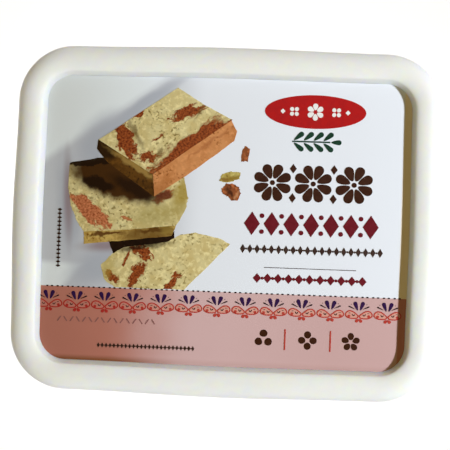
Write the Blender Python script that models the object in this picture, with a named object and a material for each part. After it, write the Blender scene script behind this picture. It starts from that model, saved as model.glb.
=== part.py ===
"""A shut, shallow plastic tub of halva with a printed label let into its lid.

Lengths are metres and +Z is up. The tub stands on its foot with the origin at the middle of its base.
Every level section of the tub is a rounded rectangle, so each piece is a loft through such outlines. An outline
is given by its inset, which is how far it lies inside the tub's widest outline, and by its height. A rule gives
the corner radius that goes with an inset.
"""

import math

import bmesh
import bpy

MM = 0.001

# Overall size of the shut tub
WIDTH = 136.0 * MM
DEPTH = 111.0 * MM
HEIGHT = 32.0 * MM

# Plan shape: the corners tighten towards the label, and each side swells a little at its middle
OUTER_CORNER_RADIUS = 18.0 * MM
LABEL_CORNER_RADIUS = 8.2 * MM
BASE_CORNER_RADIUS = 14.0 * MM
OUTER_SIDE_SWELL = 0.75 * MM
LABEL_SIDE_SWELL = 0.36 * MM
CORNER_STEPS = 9
SIDE_STEPS = 6

# Lid: a skirt, a broad rounded bead and a sunken panel inside it
RIM_WIDTH = 10.2 * MM
SKIRT_HEIGHT = 8.5 * MM
SKIRT_DRAFT = 0.2 * MM
BEAD_CREST_INSET = 5.2 * MM
BEAD_OUTER_DROP = 4.4 * MM
BEAD_INNER_DROP = 1.3 * MM
BEAD_SHOULDER_INSET = 9.0 * MM
PANEL_DEPTH = 3.4 * MM
PANEL_FILLET = 0.5 * MM
LID_THICKNESS = 1.2 * MM
OUTER_BEAD_STEPS = 7
INNER_BEAD_STEPS = 5
FILLET_STEPS = 3

# Label: a thin sheet that lies in the panel
LABEL_THICKNESS = 0.4 * MM
LABEL_EDGE_ROUND = 0.1 * MM

# Tub: a rim that fills the bead from below, a shoulder, a tapered wall and a foot
SHOULDER_HEIGHT = 22.2 * MM
SHOULDER_STEP = 1.4 * MM
SHOULDER_ROUND = 0.9 * MM
WALL_TAPER = 3.0 * MM
BASE_ROUND = 4.0 * MM
BASE_ROUND_STEPS = 5
FOOT_WIDTH = 3.0 * MM
FOOT_HEIGHT = 0.8 * MM
RIM_ROUND = 0.8 * MM

# Clearance between neighbouring pieces
GAP = 0.3 * MM

# Surface finish of each piece: colour, roughness
LID_PLASTIC = ((0.83, 0.85, 0.75, 1.0), 0.36)
TUB_PLASTIC = ((0.79, 0.81, 0.71, 1.0), 0.40)
LABEL_FILM = ((0.80, 0.74, 0.73, 1.0), 0.22)


def clear_scene():
    """Removes everything that is in the scene."""
    for item in list(bpy.data.objects):
        bpy.data.objects.remove(item, do_unlink=True)


def make_material(name, finish):
    """Returns a plastic material with the given colour and roughness."""
    colour, roughness = finish
    material = bpy.data.materials.new(name)
    material.use_nodes = True
    shader = material.node_tree.nodes["Principled BSDF"]
    shader.inputs["Base Color"].default_value = colour
    shader.inputs["Roughness"].default_value = roughness
    shader.inputs["Metallic"].default_value = 0.0
    material.diffuse_color = colour
    return material


def towards_label(outer, label, inset):
    """Returns a size that goes evenly from its value at the widest outline to its value at the label's edge."""
    return outer + (label - outer) * inset / RIM_WIDTH


def lid_corner(inset):
    """The corner radius of the lid and the label, and of the tub's rim, which fits inside the lid."""
    return towards_label(OUTER_CORNER_RADIUS, LABEL_CORNER_RADIUS, inset)


def wall_corner(inset):
    """The corner radius of the tub's wall and foot, which stay rounder than the lid's panel."""
    return towards_label(OUTER_CORNER_RADIUS, BASE_CORNER_RADIUS, inset)


def outline(inset, height, radius):
    """Returns the points of one rounded rectangle, anticlockwise from above, starting at the +X side."""
    swell = towards_label(OUTER_SIDE_SWELL, LABEL_SIDE_SWELL, inset)
    reach = (WIDTH / 2 - swell - inset - radius, DEPTH / 2 - swell - inset - radius)
    points = []
    for quarter, (sign_x, sign_y) in enumerate(((1, 1), (-1, 1), (-1, -1), (1, -1))):
        for step in range(CORNER_STEPS + 1):
            angle = math.radians(90 * (quarter + step / CORNER_STEPS))
            x = sign_x * reach[0] + radius * math.cos(angle)
            y = sign_y * reach[1] + radius * math.sin(angle)
            points.append((x, y, height))
        points.extend(swollen_side(points[-1], quarter, reach, swell))
    return points


def swollen_side(start, quarter, reach, swell):
    """Returns the points inside the side that follows a corner, pushed out most at the side's middle."""
    out_angle = math.radians(90 * (quarter + 1))
    out_x, out_y = round(math.cos(out_angle)), round(math.sin(out_angle))
    along_x, along_y = -out_y, out_x
    length = 2 * (reach[0] if along_x else reach[1])
    points = []
    for step in range(1, SIDE_STEPS):
        share = step / SIDE_STEPS
        push = swell * (1 - math.cos(2 * math.pi * share)) / 2
        x = start[0] + along_x * length * share + out_x * push
        y = start[1] + along_y * length * share + out_y * push
        points.append((x, y, start[2]))
    return points


def outlines(profile, corner_rule):
    """Returns the outline at each (inset, height) pair of a profile, with its corner radius from a rule."""
    return [outline(inset, height, corner_rule(inset)) for inset, height in profile]


def quarter_round(start, end, steps, level_first):
    """Returns (inset, height) pairs after start up to end, along a quarter of an ellipse.

    With level_first the curve leaves start level and reaches end upright, and without it the other way round.
    """
    pairs = []
    for step in range(1, steps + 1):
        angle = math.pi / 2 * step / steps
        level_share = math.sin(angle) if level_first else 1 - math.cos(angle)
        upright_share = 1 - math.cos(angle) if level_first else math.sin(angle)
        inset = start[0] + (end[0] - start[0]) * level_share
        height = start[1] + (end[1] - start[1]) * upright_share
        pairs.append((inset, height))
    return pairs


def loft(name, sections, material, collection):
    """Makes one closed solid through outlines that run from its underside out, up and in to its top."""
    mesh = bpy.data.meshes.new(name)
    shape = bmesh.new()
    rings = [[shape.verts.new(point) for point in section] for section in sections]
    for inner, outer in zip(rings, rings[1:]):
        for index, corner in enumerate(inner):
            following = (index + 1) % len(inner)
            shape.faces.new((corner, inner[following], outer[following], outer[index]))
    shape.faces.new(reversed(rings[0]))
    shape.faces.new(rings[-1])
    shape.to_mesh(mesh)
    shape.free()
    mesh.shade_smooth()
    mesh.set_sharp_from_angle(angle=math.radians(40))
    mesh.materials.append(material)
    item = bpy.data.objects.new(name, mesh)
    collection.objects.link(item)
    return item


def lid_sections():
    """The lid's outlines, from under its panel, round the groove and the skirt, over the bead and into the panel."""
    skirt_bottom = HEIGHT - SKIRT_HEIGHT
    panel_top = HEIGHT - PANEL_DEPTH
    panel_underside = panel_top - LID_THICKNESS
    groove_top = HEIGHT - BEAD_INNER_DROP - LID_THICKNESS
    skirt_inside = SKIRT_DRAFT + LID_THICKNESS
    bead_foot = (SKIRT_DRAFT, HEIGHT - BEAD_OUTER_DROP)
    crest = (BEAD_CREST_INSET, HEIGHT)
    shoulder = (BEAD_SHOULDER_INSET, HEIGHT - BEAD_INNER_DROP)
    fillet_top = (RIM_WIDTH - PANEL_FILLET / 2, panel_top + PANEL_FILLET)
    panel_edge = (RIM_WIDTH + PANEL_FILLET / 2, panel_top)
    profile = [
        (RIM_WIDTH - LID_THICKNESS, panel_underside),
        (BEAD_SHOULDER_INSET - LID_THICKNESS, groove_top),
        (skirt_inside + RIM_ROUND, groove_top),
        (skirt_inside, groove_top - RIM_ROUND),
        (skirt_inside, skirt_bottom),
        (0.0, skirt_bottom),
        bead_foot,
    ]
    profile += quarter_round(bead_foot, crest, OUTER_BEAD_STEPS, level_first=False)
    profile += quarter_round(crest, shoulder, INNER_BEAD_STEPS, level_first=True)
    profile.append(fillet_top)
    profile += quarter_round(fillet_top, panel_edge, FILLET_STEPS, level_first=False)
    return outlines(profile, lid_corner)


def label_sections():
    """The label's outlines: a thin sheet with a slightly rounded upper edge, clear of the panel all round."""
    underside = HEIGHT - PANEL_DEPTH + GAP
    top = underside + LABEL_THICKNESS
    edge = RIM_WIDTH + PANEL_FILLET / 2 + GAP
    profile = [
        (edge, underside),
        (edge, top - LABEL_EDGE_ROUND),
        (edge + LABEL_EDGE_ROUND, top),
    ]
    return outlines(profile, lid_corner)


def tub_wall_sections():
    """The outlines of the tub's foot, tapered wall and shoulder, from inside the foot out and up to the rim."""
    rim_outside = SKIRT_DRAFT + LID_THICKNESS + GAP
    wall_top_inset = rim_outside + SHOULDER_STEP
    wall_bottom = (wall_top_inset + WALL_TAPER, BASE_ROUND)
    foot_edge = (wall_bottom[0] + BASE_ROUND, 0.0)
    foot_inside = foot_edge[0] + FOOT_WIDTH
    shoulder_bottom = (wall_top_inset, SHOULDER_HEIGHT - SHOULDER_ROUND)
    shoulder_top = (rim_outside, SHOULDER_HEIGHT)
    profile = [
        (foot_inside + FOOT_HEIGHT, FOOT_HEIGHT),
        (foot_inside, 0.0),
        foot_edge,
    ]
    profile += quarter_round(foot_edge, wall_bottom, BASE_ROUND_STEPS, level_first=True)
    profile.append(shoulder_bottom)
    profile += quarter_round(shoulder_bottom, shoulder_top, FILLET_STEPS, level_first=False)
    return outlines(profile, wall_corner)


def tub_rim_sections():
    """The outlines of the tub's rim, up inside the lid's skirt, over into the bead and down to the filled top."""
    rim_outside = SKIRT_DRAFT + LID_THICKNESS + GAP
    rim_top = HEIGHT - BEAD_INNER_DROP - LID_THICKNESS - GAP
    rim_inside = BEAD_SHOULDER_INSET - LID_THICKNESS - GAP
    filled_top = HEIGHT - PANEL_DEPTH - LID_THICKNESS - GAP
    profile = [
        (rim_outside, rim_top - RIM_ROUND),
        (rim_outside + RIM_ROUND, rim_top),
        (rim_inside, rim_top),
        (RIM_WIDTH - LID_THICKNESS - GAP, filled_top),
    ]
    return outlines(profile, lid_corner)


def main():
    """Builds the tub, its lid and the label in one collection."""
    clear_scene()
    collection = bpy.data.collections.new("halva_tub")
    bpy.context.scene.collection.children.link(collection)
    tub_sections = tub_wall_sections() + tub_rim_sections()
    loft("tub", tub_sections, make_material("tub_plastic", TUB_PLASTIC), collection)
    loft("lid", lid_sections(), make_material("lid_plastic", LID_PLASTIC), collection)
    loft("label", label_sections(), make_material("label_film", LABEL_FILM), collection)


main()
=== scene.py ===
"""The looks of a shut tub of halva: plastic, the printed film in its lid, a floor, light and a camera."""

import logging
import math
from collections.abc import Callable, Sequence
from dataclasses import dataclass
from enum import Enum

import bmesh
import bpy
from mathutils import Matrix, Vector


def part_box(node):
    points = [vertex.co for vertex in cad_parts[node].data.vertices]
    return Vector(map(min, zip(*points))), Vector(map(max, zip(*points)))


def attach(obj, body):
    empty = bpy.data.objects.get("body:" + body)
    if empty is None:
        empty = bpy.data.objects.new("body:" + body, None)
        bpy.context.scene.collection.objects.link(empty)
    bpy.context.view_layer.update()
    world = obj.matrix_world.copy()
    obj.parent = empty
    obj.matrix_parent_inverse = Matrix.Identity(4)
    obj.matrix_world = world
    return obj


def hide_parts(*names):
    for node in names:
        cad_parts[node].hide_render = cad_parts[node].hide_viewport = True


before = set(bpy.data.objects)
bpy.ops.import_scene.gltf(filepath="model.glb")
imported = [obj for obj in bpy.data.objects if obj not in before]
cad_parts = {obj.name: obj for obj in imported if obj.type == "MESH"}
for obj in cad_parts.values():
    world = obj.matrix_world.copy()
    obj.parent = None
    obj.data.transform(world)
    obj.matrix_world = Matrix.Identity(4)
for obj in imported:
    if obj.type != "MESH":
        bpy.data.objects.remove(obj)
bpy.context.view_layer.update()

MM = 0.001
BODY = "root"
LOG = logging.getLogger("halva_tub")

Colour = tuple[float, float, float]
Place = tuple[float, float, float]
Point = tuple[float, float]
Section = Sequence[Point]
Socket = bpy.types.NodeSocket

LID_LOW, LID_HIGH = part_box("lid")
LABEL_LOW, LABEL_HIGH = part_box("label")
WIDTH = LID_HIGH.x - LID_LOW.x
DEPTH = LID_HIGH.y - LID_LOW.y
HEIGHT = LID_HIGH.z
FILM_TOP = LABEL_HIGH.z
TUB_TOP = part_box("tub")[1].z

# How far an ink stands off the film, and how thick one step of it is
INK_GAP = 0.002 * MM
INK_STEP = 0.01 * MM

# What most lights face, and the low lights' shared place and colour
MIDDLE: Place = (0.0, 0.0, FILM_TOP)
LOW_PLACE: Place = (0.857, 0.0, 0.428)
LOW_COLOUR: Colour = (0.86, 0.92, 1.0)


class Slot(Enum):
    """The names of three material slots: the tub's, the lid's and the film's."""

    TUB = "tub_plastic"
    LID = "lid_plastic"
    FILM = "label_film"


class Pick(Enum):
    """What a selection is made of."""

    VERT = "VERT"
    EDGE = "EDGE"
    FACE = "FACE"


class Maths(Enum):
    """How a Math node puts two values together."""

    ADD = "ADD"
    MULTIPLY = "MULTIPLY"
    MAXIMUM = "MAXIMUM"


class Axis(Enum):
    """One of an object's level axes."""

    X = "X"
    Y = "Y"


class Reach(Enum):
    """Whether a light falls on the pieces it is linked to alone, or on all but them."""

    ONLY = "INCLUDE"
    ALL_BUT = "EXCLUDE"


class NodeSketch:
    """A material's node tree, with short calls for the nodes that the finishes share."""

    # Where the Mix node has its colour sockets, which share their names with those for numbers
    MIX_FIRST = 6
    MIX_SECOND = 7
    MIX_RESULT = 2

    # The streaks that eat into a ragged oval
    STREAK_SCALE = 2.1
    STREAK_DETAIL = 7.0
    STREAK_ROUGHNESS = 0.62
    STREAK_SPREAD = (0.3, 0.7)

    TEAR_DETAIL = 4.0

    def __init__(self, name: str) -> None:
        """Starts a material whose patterns read Object coordinates.

        Args:
            name: the material's name.
        """
        self.material = bpy.data.materials.new(name)
        self.material.use_nodes = True
        self.tree = self.material.node_tree
        self.shader = self.tree.nodes["Principled BSDF"]
        self.place = self.tree.nodes.new("ShaderNodeTexCoord").outputs["Object"]

    def feed(self, socket: Socket, value: Socket | float | Colour | Vector) -> None:
        """Links a value to a socket, or sets it there.

        Args:
            socket: the input that takes the value.
            value: another node's output, a number, a colour or a vector.
        """
        if isinstance(value, bpy.types.NodeSocket):
            self.tree.links.new(value, socket)
        elif isinstance(value, tuple) and socket.type == "RGBA":
            socket.default_value = (*value, 1.0)
        else:
            socket.default_value = value

    def noise(self, scale: float, detail: float = 2.0, place: Socket | None = None) -> Socket:
        """Returns a soft noise between 0 and 1.

        Args:
            scale: bumps in one metre.
            detail: how many finer layers are added.
            place: the coordinates it is read at, or None for the object's own.

        Returns:
            The noise's factor.
        """
        node = self.tree.nodes.new("ShaderNodeTexNoise")
        node.inputs["Scale"].default_value = scale
        node.inputs["Detail"].default_value = detail
        self.feed(node.inputs["Vector"], place or self.place)
        return node.outputs["Fac"]

    def remap(self, value: Socket, start: Point, end: Point = (0.0, 1.0), smooth: bool = False) -> Socket:
        """Returns a value moved from one range to another, and kept within it.

        Args:
            value: what is moved.
            start: the range it has.
            end: the range it gets.
            smooth: whether it eases in and out.

        Returns:
            The new value.
        """
        node = self.tree.nodes.new("ShaderNodeMapRange")
        node.interpolation_type = "SMOOTHSTEP" if smooth else "LINEAR"
        node.inputs["From Min"].default_value, node.inputs["From Max"].default_value = start
        node.inputs["To Min"].default_value, node.inputs["To Max"].default_value = end
        self.feed(node.inputs["Value"], value)
        return node.outputs["Result"]

    def maths(self, step: Maths, first: Socket | float, second: Socket | float) -> Socket:
        """Returns two values put together.

        Args:
            step: how the values are put together.
            first: its first value.
            second: its second value.

        Returns:
            The result.
        """
        node = self.tree.nodes.new("ShaderNodeMath")
        node.operation = step.value
        self.feed(node.inputs[0], first)
        self.feed(node.inputs[1], second)
        return node.outputs["Value"]

    def blend(self, share: Socket | float, first: Socket | Colour, second: Socket | Colour) -> Socket:
        """Returns a mix of two colours.

        Args:
            share: how much of the second colour there is.
            first: the first colour.
            second: the second colour.

        Returns:
            The mixed colour.
        """
        node = self.tree.nodes.new("ShaderNodeMix")
        node.data_type = "RGBA"
        self.feed(node.inputs["Factor"], share)
        self.feed(node.inputs[self.MIX_FIRST], first)
        self.feed(node.inputs[self.MIX_SECOND], second)
        return node.outputs[self.MIX_RESULT]

    def along(self, axis: Axis) -> Socket:
        """Returns one coordinate of the object's own place.

        Args:
            axis: the axis.

        Returns:
            The coordinate in metres.
        """
        node = self.tree.nodes.new("ShaderNodeSeparateXYZ")
        self.feed(node.inputs[0], self.place)
        return node.outputs[axis.value]

    def ragged_place(self, scale: float, reach: float) -> Socket:
        """Returns the object's coordinates pushed about by a noise, for outlines that look torn.

        Args:
            scale: bumps in one metre.
            reach: the furthest push, in metres.

        Returns:
            The pushed coordinates.
        """
        noise = self.tree.nodes.new("ShaderNodeTexNoise")
        noise.inputs["Scale"].default_value = scale
        noise.inputs["Detail"].default_value = self.TEAR_DETAIL
        self.feed(noise.inputs["Vector"], self.place)
        push = self.tree.nodes.new("ShaderNodeVectorMath")
        push.operation = "MULTIPLY_ADD"
        self.feed(push.inputs[0], noise.outputs["Color"])
        push.inputs[1].default_value = (2 * reach, 2 * reach, 0.0)
        push.inputs[2].default_value = (-reach, -reach, 0.0)
        total = self.tree.nodes.new("ShaderNodeVectorMath")
        total.operation = "ADD"
        self.feed(total.inputs[0], push.outputs["Vector"])
        self.feed(total.inputs[1], self.place)
        return total.outputs["Vector"]

    def oval(self, patch: "Oval", place: Socket, softness: float, ragged: float = 0.0) -> Socket:
        """Returns a mask that is 1 inside an oval and 0 outside it.

        Args:
            patch: the oval, in millimetres.
            place: the coordinates it is read at.
            softness: how wide its edge is, as a share of its size.
            ragged: how deep streaks along its length eat into it, as a share of its size.

        Returns:
            The mask.
        """
        node = self.tree.nodes.new("ShaderNodeMapping")
        node.vector_type = "TEXTURE"
        node.inputs["Location"].default_value = (patch.x * MM, patch.y * MM, FILM_TOP)
        node.inputs["Rotation"].default_value = (0.0, 0.0, math.radians(patch.turn))
        node.inputs["Scale"].default_value = (patch.length * MM, patch.width * MM, 1.0)
        self.feed(node.inputs["Vector"], place)
        length = self.tree.nodes.new("ShaderNodeVectorMath")
        length.operation = "LENGTH"
        self.feed(length.inputs[0], node.outputs["Vector"])
        reach = length.outputs["Value"]
        if ragged:
            streaks = self.tree.nodes.new("ShaderNodeTexNoise")
            streaks.noise_dimensions = "4D"
            streaks.inputs["W"].default_value = patch.x + patch.y
            streaks.inputs["Scale"].default_value = self.STREAK_SCALE
            streaks.inputs["Detail"].default_value = self.STREAK_DETAIL
            streaks.inputs["Roughness"].default_value = self.STREAK_ROUGHNESS
            self.feed(streaks.inputs["Vector"], node.outputs["Vector"])
            bite = self.remap(streaks.outputs["Fac"], self.STREAK_SPREAD, (-ragged, ragged))
            reach = self.maths(Maths.ADD, reach, bite)
        return self.remap(reach, (1 + softness, 1 - softness), smooth=True)

    def beyond(self, edge: "Edge") -> Socket:
        """Returns a mask that is 1 on one side of a straight soft edge and 0 on the other.

        Args:
            edge: the edge, in millimetres.

        Returns:
            The mask.
        """
        angle = math.radians(edge.facing)
        facing = Vector((math.cos(angle), math.sin(angle), 0))
        node = self.tree.nodes.new("ShaderNodeVectorMath")
        node.operation = "DOT_PRODUCT"
        self.feed(node.inputs[0], self.place)
        node.inputs[1].default_value = facing
        middle = facing.dot(Vector((edge.x, edge.y, 0))) * MM
        half = edge.softness * MM / 2
        return self.remap(node.outputs["Value"], (middle - half, middle + half), smooth=True)

    def bump(self, height: Socket, distance: float, strength: float, under: Socket | None = None) -> Socket:
        """Returns a normal that follows a height.

        Args:
            height: the height between 0 and 1.
            distance: the relief's depth in metres.
            strength: how much of it counts.
            under: a normal that this relief lies on.

        Returns:
            The normal.
        """
        node = self.tree.nodes.new("ShaderNodeBump")
        node.inputs["Strength"].default_value = strength
        node.inputs["Distance"].default_value = distance
        self.feed(node.inputs["Height"], height)
        if under:
            self.feed(node.inputs["Normal"], under)
        return node.outputs["Normal"]

    def finish(self, colour: Socket, roughness: Socket, normal: Socket) -> bpy.types.Material:
        """Feeds the shader and returns the material.

        Args:
            colour: the base colour.
            roughness: the roughness.
            normal: the normal.

        Returns:
            The finished material.
        """
        self.feed(self.shader.inputs["Base Color"], colour)
        self.feed(self.shader.inputs["Roughness"], roughness)
        self.feed(self.shader.inputs["Normal"], normal)
        return self.material


@dataclass(frozen=True)
class Oval:
    """An oval on the film: its centre and half sizes in mm, its turn in degrees and its raggedness."""

    x: float
    y: float
    length: float
    width: float
    turn: float
    ragged: float = 0.62


@dataclass(frozen=True)
class Edge:
    """A straight edge on the film: a point on it in mm, where it faces in degrees and its softness in mm."""

    x: float
    y: float
    facing: float
    softness: float


@dataclass(frozen=True)
class Stain:
    """A field of one colour on a printed piece, with how much it covers and how soft its edge is."""

    oval: Oval
    colour: Colour
    cover: float = 0.9
    softness: float = 0.3


@dataclass(frozen=True)
class MouldedPlastic:
    """A cream, slightly translucent moulded plastic with faint flow clouds and a fine satin grain."""

    name: str
    colour: Colour
    cloud: Colour
    roughness: Point
    translucence: float = 0.7
    bleed: Colour = (1.0, 0.82, 0.38)
    bleed_depth: float = 3.2 * MM
    refraction: float = 1.49
    shine: float = 0.22
    cloud_scale: float = 14.0
    wear_scale: float = 300.0
    ripple_scale: float = 70.0
    ripple_depth: float = 0.05 * MM
    grain_scale: float = 2600.0
    grain_depth: float = 0.012 * MM

    def make(self) -> bpy.types.Material:
        """Returns the plastic's material.

        Returns:
            The material.
        """
        sketch = NodeSketch(self.name)
        shader = sketch.shader
        shader.inputs["IOR"].default_value = self.refraction
        shader.inputs["Specular IOR Level"].default_value = self.shine
        shader.inputs["Subsurface Weight"].default_value = self.translucence
        shader.inputs["Subsurface Radius"].default_value = self.bleed
        shader.inputs["Subsurface Scale"].default_value = self.bleed_depth
        clouds = sketch.remap(sketch.noise(self.cloud_scale, 2), (0.30, 0.70))
        wear = sketch.remap(sketch.noise(self.wear_scale, 5), (0.45, 0.75))
        ripple = sketch.bump(sketch.noise(self.ripple_scale, 1), self.ripple_depth, 0.25)
        grain = sketch.bump(sketch.noise(self.grain_scale, 2), self.grain_depth, 0.30, ripple)
        colour = sketch.blend(clouds, self.colour, self.cloud)
        return sketch.finish(colour, sketch.remap(wear, (0, 1), self.roughness), grain)


@dataclass(frozen=True)
class FilmGloss:
    """The surface that the film and every ink share: a gloss that waves a little, as a thin film does."""

    roughness: Point = (0.22, 0.25)
    refraction: float = 1.50
    shine: float = 0.32
    smear_scale: float = 210.0
    wave_scale: float = 38.0
    wave_depth: float = 0.10 * MM
    grain_scale: float = 1500.0
    grain_depth: float = 0.004 * MM

    def coat(self, sketch: NodeSketch, colour: Socket) -> bpy.types.Material:
        """Gives a colour the film's gloss.

        Args:
            sketch: the material under way.
            colour: its base colour.

        Returns:
            The finished material.
        """
        sketch.shader.inputs["IOR"].default_value = self.refraction
        sketch.shader.inputs["Specular IOR Level"].default_value = self.shine
        smear = sketch.remap(sketch.noise(self.smear_scale, 4), (0.35, 0.7), self.roughness)
        waves = sketch.bump(sketch.noise(self.wave_scale, 1), self.wave_depth, 0.5)
        grain = sketch.bump(sketch.noise(self.grain_scale, 1), self.grain_depth, 0.3, waves)
        return sketch.finish(colour, smear, grain)


@dataclass(frozen=True)
class FilmPrint:
    """The film's ground: white above a pink band, the picture's printed soft shadows, and painted light and
    shade.
    """

    name: str
    gloss: FilmGloss
    band_edge: float
    white: Colour = (0.80, 0.835, 0.905)
    left_white: Colour = (0.81, 0.87, 0.91)
    pink: Colour = (0.640, 0.430, 0.428)
    # painted light: the pink is lightest about the middle and goes duller to this colour towards the right
    # end
    right_shaded_pink: Colour = (0.585, 0.378, 0.370)
    # painted shade: the pink darkens to this colour towards the left, and takes it in the lid rim's shadow at
    # the right edge
    painted_shade_pink: Colour = (0.49, 0.190, 0.142)
    left_shade_fade: Point = (-35.0 * MM, -11.0 * MM)
    right_shade_fade: Point = (2.0 * MM, 34.0 * MM)
    sway_scale: float = 28.0
    sway: float = 7.0 * MM
    # painted shadow: both colours turn warmer and darker where the lid rim's shadow falls on the film's right
    # edge
    rim_shadow_white: Colour = (0.90, 0.79, 0.60)
    rim_edge: Point = (54.9 * MM, 55.5 * MM)
    # painted shade: the pink darkens along its foot by the lid's wall, more towards the left
    foot_shade_pink: Colour = (0.20, 0.070, 0.020)
    foot_shade_edge: Point = (-43.0 * MM, -45.0 * MM)
    foot_shade_cover: Point = (0.85, 0.16)
    cast_shadow: Colour = (0.575, 0.600, 0.655)
    near_shadow: Colour = (0.44, 0.47, 0.54)
    contact_shadow: Colour = (0.31, 0.25, 0.28)
    drift_scale: float = 60.0
    drift: float = 2.0 * MM
    under_slices: tuple[Edge, Edge] = (Edge(-48.3, 24.6, -55, 3.4), Edge(-50, -14.6, 87, 2.6))
    beside_front: tuple[Edge, Edge] = (Edge(-47.0, -17.4, -38, 3.0), Edge(-20, 0, 180, 9))
    cast_end: Edge = Edge(-14, 0, 180, 16)
    near: tuple[Oval, ...] = (
        Oval(-40.0, 24.0, 6.0, 9.0, -32.0),
        Oval(-28.0, 35.5, 15.0, 1.7, 35.0),
        Oval(-49.5, 4.0, 3.6, 14.0, 6.0),
        Oval(-38.0, -14.5, 11.0, 5.0, 28.0),
    )
    contact: tuple[Oval, ...] = (
        Oval(-37.5, -8.6, 6.5, 1.7, 4.0),
        Oval(-49.9, 6.0, 1.3, 11.5, 3.0),
    )

    def shadowed(self, sketch: NodeSketch, ground: Socket) -> Socket:
        """Lays the picture's shadows on the white ground.

        Args:
            sketch: the material under way.
            ground: the white ground's colour.

        Returns:
            The colour with its shadows.
        """
        under, beside = (
            sketch.maths(Maths.MULTIPLY, sketch.beyond(first), sketch.beyond(second))
            for first, second in (self.under_slices, self.beside_front)
        )
        cast = sketch.maths(Maths.MAXIMUM, under, beside)
        cast = sketch.maths(Maths.MULTIPLY, cast, sketch.beyond(self.cast_end))
        ground = sketch.blend(cast, ground, self.cast_shadow)
        drift = sketch.ragged_place(self.drift_scale, self.drift)
        for oval in self.near:
            ground = sketch.blend(sketch.oval(oval, drift, 0.6), ground, self.near_shadow)
        for oval in self.contact:
            ground = sketch.blend(sketch.oval(oval, sketch.place, 0.8), ground, self.contact_shadow)
        return ground

    def make(self) -> bpy.types.Material:
        """Returns the film's material.

        Returns:
            The material.
        """
        sketch = NodeSketch(self.name)
        x, y = sketch.along(Axis.X), sketch.along(Axis.Y)
        sway = sketch.remap(sketch.noise(self.sway_scale, 2), (0.3, 0.7), (-self.sway, self.sway))
        # painted shade: 0 towards the left, where the pink is darkest, rising to 1 left of the middle along a
        # wavering edge
        across = sketch.remap(sketch.maths(Maths.ADD, x, sway), self.left_shade_fade, smooth=True)
        # painted shadow: 1 under the lid rim's shadow at the film's right edge
        in_rim_shadow = sketch.remap(x, self.rim_edge)
        ground = self.shadowed(sketch, sketch.blend(across, self.left_white, self.white))
        # painted shadow on the white at the right edge
        ground = sketch.blend(in_rim_shadow, ground, self.rim_shadow_white)
        # painted light: the pink dulls towards the right
        pink = sketch.blend(sketch.remap(x, self.right_shade_fade), self.pink, self.right_shaded_pink)
        # painted shade: the pink darkens towards the left
        pink = sketch.blend(across, self.painted_shade_pink, pink)
        # painted shadow on the pink at the right edge
        pink = sketch.blend(in_rim_shadow, pink, self.painted_shade_pink)
        # painted shade along the pink's foot, stronger to the left
        foot = sketch.remap(y, self.foot_shade_edge, smooth=True)
        foot = sketch.maths(Maths.MULTIPLY, foot, sketch.remap(across, (0, 1), self.foot_shade_cover))
        pink = sketch.blend(foot, pink, self.foot_shade_pink)
        below = sketch.remap(y, (self.band_edge + 0.05 * MM, self.band_edge - 0.05 * MM))
        return self.gloss.coat(sketch, sketch.blend(below, ground, pink))


@dataclass(frozen=True)
class Ink:
    """A printed colour that is laid on a little unevenly."""

    name: str
    gloss: FilmGloss
    colour: Colour
    thin: Colour
    # painted shade: a darker colour that the ink goes over to towards the left, where it has one
    left: Colour | None = None
    left_shade_fade: Point = (-38.0 * MM, -6.0 * MM)
    cover_scale: float = 700.0

    def make(self) -> bpy.types.Material:
        """Returns the ink's material, with painted shade: an ink that has a colour for the left goes over to
        it there.

        Returns:
            The material.
        """
        sketch = NodeSketch(self.name)
        cover = sketch.remap(sketch.noise(self.cover_scale, 5), (0.40, 0.78), (0.0, 0.8))
        colour = sketch.blend(cover, self.colour, self.thin)
        if self.left:
            across = sketch.remap(sketch.along(Axis.X), self.left_shade_fade, smooth=True)
            colour = sketch.blend(across, self.left, colour)
        return self.gloss.coat(sketch, colour)


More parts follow.
